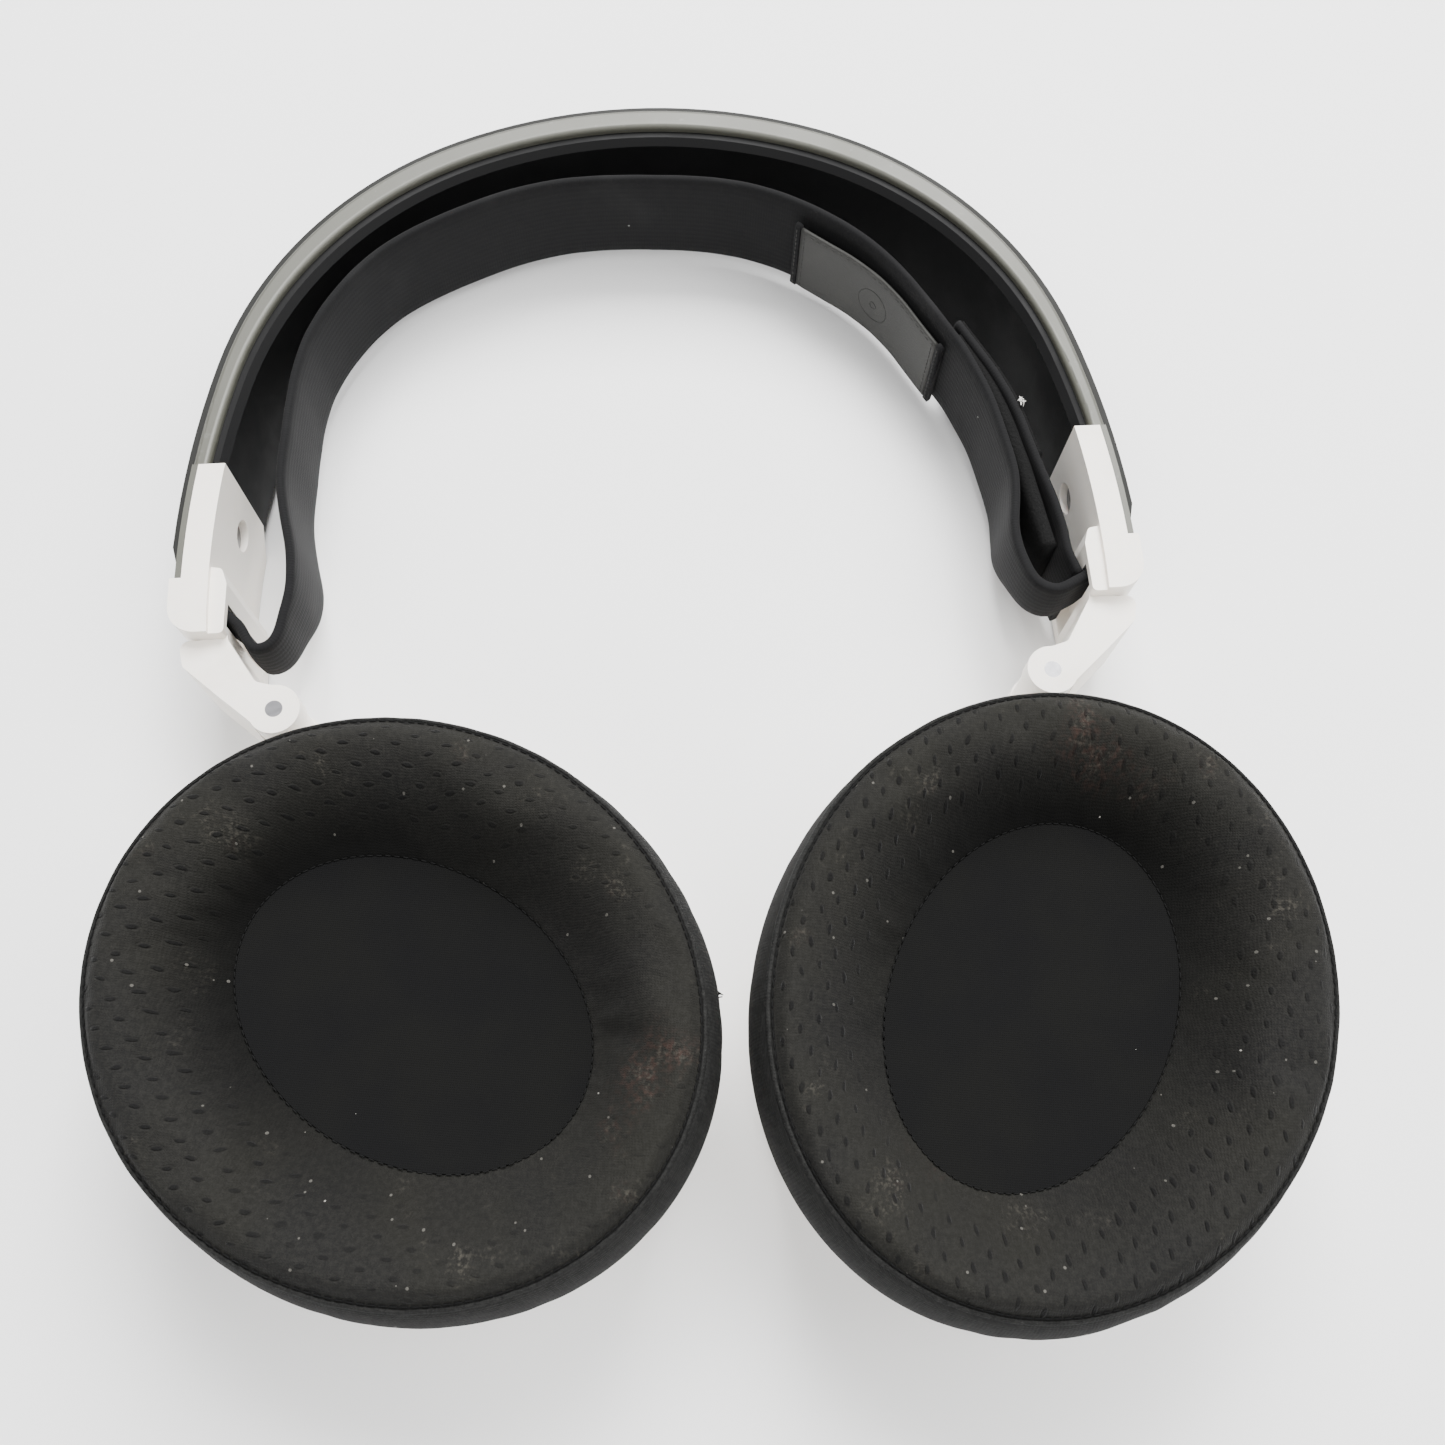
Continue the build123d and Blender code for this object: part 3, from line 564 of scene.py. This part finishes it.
def make_cushion(cup, knit, wall):
    """A padded ring of knit: a straight wall, a sewn seam, a soft crest and a slope into the well."""
    columns = CUSHION_COLUMNS
    rows = len(CUSHION_SECTION)
    vertices, slot_show, painted_shade = [], [], []
    for row, (inward, height) in enumerate(CUSHION_SECTION):
        for column in range(columns):
            angle = 2 * math.pi * column / columns
            around = Vector((math.cos(angle) * 2.2, math.sin(angle) * 2.2, cup.seed))
            drop = 0.0
            shift = cup.slump(angle) * SLUMP_SHARE.get(row, 0.0)
            if TOP_STEPS[0] < row < TOP_STEPS[1]:
                swell = math.sin(math.pi * (row - TOP_STEPS[0]) / (TOP_STEPS[1] - TOP_STEPS[0]))
                drop = 0.5 * swell * (0.5 + noise.noise(around))
                shift += 0.008 * noise.noise(around * 2.7)
            if row in WELL_STEPS:
                shift += 0.02 * noise.noise(around * 11.0)
            place = cup.ring_point(inward + shift, angle, (height - max(drop, 0.0)) * MM)
            vertices.append(place)
            away = (place - cup.middle).to_2d().normalized()
            # Strength of the painted shade in the slots: stronger towards one side of each cushion
            slot_show.append(SLOT_SHOW_LEVEL[cup.side] + SLOT_SHOW_SWING * away.dot(SLOT_SHOW[cup.side]))
            # Painted shade on the slope into the well, stronger towards one side of each cushion
            deep = min(max((inward - SHADE_START) / SHADE_REACH, 0.0), 1.0)
            painted_shade.append(deep * (0.55 + 0.45 * away.dot(SHADE[cup.side])))
    cushion = join_mesh(cup.side + "_cushion", [(vertices, ring_grid(rows, columns, True))], knit)
    cushion.data.materials.append(wall)
    for number, face in enumerate(cushion.data.polygons):
        if number // columns < SEAM_STEP or number // columns == rows - 1:
            face.material_index = 1
    firm = cushion.vertex_groups.new(name="firm")
    held = [row for row in range(rows) if row < 4 or row in HELD_SEAM_STEPS or row >= TOP_STEPS[1]]
    firm.add([row * columns + column for row in held for column in range(columns)], 1.0, "REPLACE")
    half_held = [row * columns + column for row in HALF_HELD_STEPS for column in range(columns)]
    firm.add(half_held, HALF_HELD, "REPLACE")
    add_values(cushion, "slot_show", slot_show)
    add_values(cushion, "painted_shade", painted_shade)
    inwards = [min(max(inward, 0.0), 1.0) for inward, _ in CUSHION_SECTION for _ in range(columns)]
    add_values(cushion, "inward", inwards)
    inflate(cushion, SEAM_STEP * columns)
    set_uv(cushion, [cup.wall_uv(v.co) if v.index < SEAM_STEP * columns else cup.knit_uv(v.co)
                     for v in cushion.data.vertices])
    divide(cushion, 1)
    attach(cushion, cup.body)
    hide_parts(cup.side + "_ear_cushion")


def add_values(piece, name, values):
    """Stores one number for each of a mesh's points, for its material to read."""
    piece.data.attributes.new(name, "FLOAT", "POINT").data.foreach_set("value", values)


def inflate(piece, wall_points):
    """Lets the cloth settle over its filling for a few frames, held at its seams."""
    start = np.array([v.co[:] for v in piece.data.vertices])
    cloth = piece.modifiers.new("cloth", "CLOTH").settings
    cloth.quality = 6
    cloth.mass = 0.05
    cloth.tension_stiffness = 12
    cloth.compression_stiffness = 12
    cloth.bending_stiffness = 0.4
    cloth.shrink_min = -0.03
    cloth.vertex_group_mass = "firm"
    cloth.use_pressure = True
    cloth.uniform_pressure_force = 3.0
    cloth.effector_weights.gravity = 0
    scene = bpy.context.scene
    for number in range(1, SETTLE_FRAMES + 1):
        scene.frame_set(number)
    settled = piece.evaluated_get(bpy.context.evaluated_depsgraph_get())
    moved = np.array([v.co[:] for v in settled.data.vertices]) - start
    piece.modifiers.clear()
    scene.frame_set(1)
    length = np.linalg.norm(moved, axis=1, keepdims=True)
    moved *= np.minimum(1.0, SETTLE_LIMIT / np.maximum(length, 1e-9))
    moved[:, 2] = np.minimum(moved[:, 2], SETTLE_RISE)
    moved[:wall_points] *= WALL_SETTLE
    for vertex, place in zip(piece.data.vertices, start + moved):
        vertex.co = place


def divide(piece, levels):
    """Smooths a mesh by subdivision and keeps the result."""
    piece.modifiers.new("smooth", "SUBSURF").levels = levels
    shape = piece.evaluated_get(bpy.context.evaluated_depsgraph_get())
    mesh = bpy.data.meshes.new_from_object(shape)
    piece.modifiers.clear()
    piece.data = mesh
    mesh.shade_smooth()


def capsule(middle, along, length, radius):
    """A short thread: six-sided and rounded off at both ends."""
    sides = 6
    along = along.normalized()
    side = along.cross(Vector((0, 0, 1)))
    if side.length < 0.1:
        side = along.cross(Vector((1, 0, 0)))
    side.normalize()
    up = side.cross(along)
    rows = ((-0.5, 0.3), (-0.4, 0.85), (-0.15, 1.0), (0.15, 1.0), (0.4, 0.85), (0.5, 0.3))
    vertices = []
    for offset, wide in rows:
        for step in range(sides):
            angle = 2 * math.pi * step / sides
            spread = side * math.cos(angle) + up * math.sin(angle)
            vertices.append(middle + along * (offset * length) + spread * (radius * wide))
    faces = ring_grid(len(rows), sides, False)
    faces += [tuple(range(sides - 1, -1, -1)), tuple(range(len(vertices) - sides, len(vertices)))]
    return vertices, faces


def stitch_ring(cup, name, inward, height, count, length, radius, thread, slumped=0.0):
    """Stitches one after another round the oval."""
    parts = []
    for number in range(count):
        angle = 2 * math.pi * number / count
        place = cup.ring_point(inward + slumped * cup.slump(angle), angle, height)
        ahead = cup.ring_point(inward + slumped * cup.slump(angle + 0.01), angle + 0.01, height)
        tilt = Vector((0, 0, 0.12 * MM if number % 2 else -0.12 * MM))
        parts.append(capsule(place, ahead - place + tilt * 0.2, length, radius))
    stitches = join_mesh(cup.side + name, parts, thread)
    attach(stitches, cup.body)


def make_piping(cup, wall):
    """Narrow folded edge of the side wall that stands up beside the seam."""
    vertices = []
    for inward, height in PIPING_SECTION:
        for column in range(PIPING_COLUMNS):
            angle = 2 * math.pi * column / PIPING_COLUMNS
            wave = noise.noise(Vector((math.cos(angle) * 14, math.sin(angle) * 14, cup.seed + 5)))
            spot = inward + 0.006 * wave + cup.slump(angle)
            vertices.append(cup.ring_point(spot, angle, (height + 0.12 * wave) * MM))
    faces = ring_grid(len(PIPING_SECTION), PIPING_COLUMNS, True)
    piping = join_mesh(cup.side + "_cushion_piping", [(vertices, faces)], wall)
    set_uv(piping, [cup.knit_uv(v.co) for v in piping.data.vertices])
    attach(piping, cup.body)


def make_scrim(cup, cloth):
    """Cloth across the well, sagging a little over the baffle."""
    columns, rows = SCRIM_COLUMNS, SCRIM_ROWS
    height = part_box(cup.side + "_cushion_scrim")[1].z - cup.base
    vertices = []
    for row in range(rows):
        share = 1 - row / rows
        for column in range(columns):
            angle = 2 * math.pi * column / columns
            flat = cup.ring_point(1.0, angle, 0) - cup.middle
            ripple = noise.noise(Vector((flat.x * 60 * share, flat.y * 60 * share, cup.seed)))
            drop = SCRIM_SAG * (1 - share ** 3) + ripple * 0.35 * MM * (1 - share)
            spot = cup.middle + Vector((flat.x * share * 1.004, flat.y * share * 1.004, 0))
            spot.z = cup.base + height - drop
            vertices.append(spot)
    vertices.append(cup.middle + Vector((0, 0, cup.base + height - SCRIM_SAG)))
    faces = ring_grid(rows, columns, False)
    last = (rows - 1) * columns
    faces += [(last + column, last + (column + 1) % columns, len(vertices) - 1) for column in range(columns)]
    scrim = join_mesh(cup.side + "_scrim", [(vertices, faces)], cloth)
    set_uv(scrim, [cup.knit_uv(v.co) for v in scrim.data.vertices])
    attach(scrim, cup.body)
    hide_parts(cup.side + "_cushion_scrim")


# ---- Suspension strap ----

def strap_section(width, thickness, cup_depth, steps=9):
    """Closed outline of a strap's cut end: rounded edges, slightly dished. (across, outward) pairs."""
    outline = []
    half = width / 2 - thickness / 2
    for face in (1, -1):
        for step in range(steps):
            share = -1 + 2 * step / (steps - 1)
            across = face * share * half
            outline.append((across, face * thickness / 2 + cup_depth * (across / half) ** 2))
        angle_start = math.pi / 2 if face == 1 else -math.pi / 2
        for step in (1, 2, 3):
            angle = angle_start - math.pi * step / 4
            across = face * half + thickness / 2 * math.cos(angle)
            outline.append((across, thickness / 2 * math.sin(angle) + cup_depth))
    return outline


def make_ribbon(name, route, width, thickness, material, sway=0.0, cup_depth=0.0, seed=0.0,
                middle=STRAP_MID, gather=0.0):
    """A strap on edge along a route, with its cut ends closed."""
    spots, along, run = smooth_route(route, ROUTE_STEP)
    outline = strap_section(width, thickness, cup_depth)
    vertices, flat = [], []
    total = run[-1]
    for (x, y), (dx, dy), distance in zip(spots, along, run):
        fade = math.sin(math.pi * min(1.0, max(0.0, distance / total)))
        tilt = sway * noise.noise(Vector((distance * 0.018, seed, 0))) * fade
        rise = sway * 0.8 * noise.noise(Vector((distance * 0.012, seed + 7, 0))) * fade
        ripple = 0.10 * noise.noise(Vector((distance * 0.16, seed + 3, 0)))
        near_end = min(max((GATHER_START - min(distance, total - distance)) / GATHER_LENGTH, 0.0), 1.0)
        narrow = gather * near_end * near_end * (3 - 2 * near_end)
        rise += narrow * width / 2
        for across, outward in outline:
            across *= 1 - narrow
            lean = outward + ripple + tilt * across / width
            vertices.append(band_point(x + dy * -lean, y + dx * lean, middle + rise + across))
            flat.append((distance * MM, across * MM))
    columns = len(outline)
    faces = ring_grid(len(spots), columns, False)
    faces += [tuple(range(columns - 1, -1, -1)), tuple(range(len(vertices) - columns, len(vertices)))]
    ribbon = join_mesh(name, [(vertices, faces)], material)
    set_uv(ribbon, flat)
    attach(ribbon, "headband")
    return ribbon, total


def make_strap(elastic, felt):
    """The strap, its folded-back tail and the two pads of the tail's fuzzy fastener."""
    strap, length = make_ribbon("strap", STRAP_ROUTE, STRAP_WIDTH, STRAP_THICKNESS, elastic, sway=1.3,
                                cup_depth=0.25, gather=STRAP_GATHER)
    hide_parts("suspension_strap")
    tail, tail_length = make_ribbon("strap_tail_cloth", TAIL_ROUTE, STRAP_WIDTH - 0.6, TAIL_THICKNESS,
                                    elastic, sway=0.6, seed=20.0)
    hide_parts("strap_tail")
    hook_pad, _ = make_ribbon("strap_hook_pad", HOOK_ROUTE, STRAP_WIDTH - 2.0, 3.0, felt, seed=35.0)
    loop_route = [(x + 1.0, y + 0.45) for x, y in TAIL_ROUTE[3:]]
    loop_pad, _ = make_ribbon("strap_loop_pad", loop_route, STRAP_WIDTH - 2.4, 1.2, felt, seed=30.0)


def patch_point(spots, along, run, distance, lift):
    """A point in plan, so far along the patch's route and so far off it on its outer side."""
    beyond = min(0.0, distance) + max(0.0, distance - run[-1])
    x, y = (np.interp(distance, run, spots[:, axis]) for axis in (0, 1))
    dx, dy = (np.interp(distance, run, along[:, axis]) for axis in (0, 1))
    return (float(x + dx * beyond + dy * -lift), float(y + dy * beyond + dx * lift))


def patch_spot(spots, along, run, distance, across, lift):
    """A place on the patch's hollow side: so far along it, so far across it, so far off it."""
    x, y = patch_point(spots, along, run, distance, -lift)
    return band_point(x, y, PATCH_MID + across)


def make_patch(skin, binding, thread):
    """Grey badge between two bound ends, with rows of stitches and a pressed ring round a dot."""
    patch, length = make_ribbon("patch", PATCH_ROUTE, PATCH_WIDTH, PATCH_THICKNESS, skin, seed=40.0,
                                middle=PATCH_MID)
    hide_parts("strap_patch")
    spots, along, run = smooth_route(PATCH_ROUTE, ROUTE_STEP)
    near, far = BINDING_SPANS
    for number, (start, end) in enumerate(((-far, -near), (length + near, length + far))):
        binding_points = [patch_point(spots, along, run, distance, 0.1) for distance in (start, end)]
        bound, _ = make_ribbon("patch_binding" + str(number), binding_points, PATCH_WIDTH + 0.9,
                               BINDING_THICKNESS, binding, seed=50.0, middle=PATCH_MID)
    threads = []
    for distance in (-0.9, 0.9, length - 0.9, length + 0.9):
        lift = 0.78 if 0 < distance < length else 0.95
        for number in range(ROW_STITCHES):
            across = (2 * number / (ROW_STITCHES - 1) - 1) * (PATCH_WIDTH / 2 - 1.0)
            place = patch_spot(spots, along, run, distance, across, lift - 0.28)
            threads.append(capsule(place, Vector((0, 0, 1)), 0.9 * MM, PATCH_THREAD))
    edge = PATCH_WIDTH / 2 - 0.9
    for number in range(EDGE_STITCHES):
        place = patch_spot(spots, along, run, (number + 0.5) * length / EDGE_STITCHES, edge, 0.45)
        ahead = patch_spot(spots, along, run, (number + 0.6) * length / EDGE_STITCHES, edge, 0.45)
        threads.append(capsule(place, ahead - place, 1.0 * MM, PATCH_THREAD))
    stitches = join_mesh("patch_stitches", threads, thread)
    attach(stitches, "headband")
    motif = []
    for radius, count in MOTIF_RINGS:
        for number in range(count):
            angle = 2 * math.pi * number / count
            ahead_angle = angle + 0.1
            place = patch_spot(spots, along, run, length / 2 + radius * math.cos(angle),
                               radius * math.sin(angle), MOTIF_LIFT)
            ahead = patch_spot(spots, along, run, length / 2 + radius * math.cos(ahead_angle),
                               radius * math.sin(ahead_angle), MOTIF_LIFT)
            motif.append(capsule(place, ahead - place, 2.5 * math.pi * radius / count * MM, 0.14 * MM))
    ring = join_mesh("patch_motif", motif, skin)
    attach(ring, "headband")


# ---- Lint ----

def steady_vector(spot):
    """Three values of smooth noise taken well apart: the same vector for the same spot in every run."""
    return Vector([noise.noise(spot + Vector((31.4, 17.3, 5.7)) * axis) for axis in range(3)])


def make_lint(name, body, middle, reach, count, seed, material):
    """A tuft of short fibres caught on the cloth."""
    fibres = []
    for number in range(count):
        spot = Vector((seed, number * 3.7, 0.5))
        away = steady_vector(spot)
        along = steady_vector(spot + Vector((9.2, 0, 0)))
        fibres.append(capsule(middle + away * reach, along, 1.1 * MM, 0.10 * MM))
    tuft = join_mesh(name, fibres, material)
    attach(tuft, body)


# ---- Stage ----

def make_stage():
    """Pale floor, three soft lights and a bright even surround."""
    bpy.ops.mesh.primitive_plane_add(size=4)
    floor = bpy.context.object
    floor.name = "floor"
    paper = Shader("floor_paper", (0.93, 0.93, 0.93), 0.9)
    floor.data.materials.append(paper.material)
    floor.location.z = -0.0002
    lights = (((0.1, 0.62, 0.85), 0.6, 27.0), ((0.55, 0.1, 0.95), 0.8, 12.0), ((-0.3, -0.5, 0.9), 0.8, 6.0))
    for number, (place, size, power) in enumerate(lights):
        lamp_data = bpy.data.lights.new("softbox" + str(number), "AREA")
        lamp_data.size = size
        lamp_data.energy = power
        lamp = bpy.data.objects.new("softbox" + str(number), lamp_data)
        lamp.location = place
        lamp.rotation_euler = (-Vector(place)).to_track_quat("-Z", "Y").to_euler()
        bpy.context.scene.collection.objects.link(lamp)
    world = bpy.data.worlds.new("studio")
    world.use_nodes = True
    world.node_tree.nodes["Background"].inputs[0].default_value = (1, 1, 1, 1)
    world.node_tree.nodes["Background"].inputs[1].default_value = 0.72
    bpy.context.scene.world = world


def make_camera():
    """Looks down and a little towards the crown from over the space in front of the cups."""
    right = Vector((0.998, -0.062, 0.018)).normalized()
    ahead = Vector((0.039, 0.351, -0.936)).normalized()
    up = right.cross(ahead)
    right = ahead.cross(up)
    camera_data = bpy.data.cameras.new("camera")
    camera_data.lens = 33.88
    camera_data.sensor_width = 36.0
    camera = bpy.data.objects.new("camera", camera_data)
    turn = Matrix((right, up, -ahead)).transposed().to_4x4()
    camera.matrix_world = Matrix.Translation(band_point(0, 0, 241.3)) @ turn
    bpy.context.scene.collection.objects.link(camera)
    bpy.context.scene.camera = camera


make_stage()
make_camera()
dress_cad_nodes()
knit = knit_material()
wall = wall_material()
scrim_cloth = scrim_material()
dark_thread = thread_material("seam_thread_look", (0.006, 0.006, 0.006))
for side in SIDES:
    cup = Cup(side)
    make_cushion(cup, knit, wall)
    make_piping(cup, wall)
    stitch_ring(cup, "_seam_stitches", 0.084, 17.85 * MM, 190, 1.15 * MM, 0.13 * MM, dark_thread, 1.0)
    stitch_ring(cup, "_well_stitches", 0.990, 6.35 * MM, 120, 0.95 * MM, 0.12 * MM, dark_thread)
    make_scrim(cup, scrim_cloth)
elastic = elastic_material()
make_strap(elastic, felt_material())
make_patch(patch_material(), elastic, thread_material("patch_thread_look", (0.05, 0.05, 0.048)))
fluff = thread_material("lint_look", (0.75, 0.74, 0.70))
make_lint("strap_lint", "headband", band_point(68.9, 142.3, 25.0), 1.3 * MM, 9, 2.0, fluff)
make_lint("cushion_lint", "left_cup", band_point(5.6, 34.2, 31.0), 0.8 * MM, 5, 6.0, dark_thread)
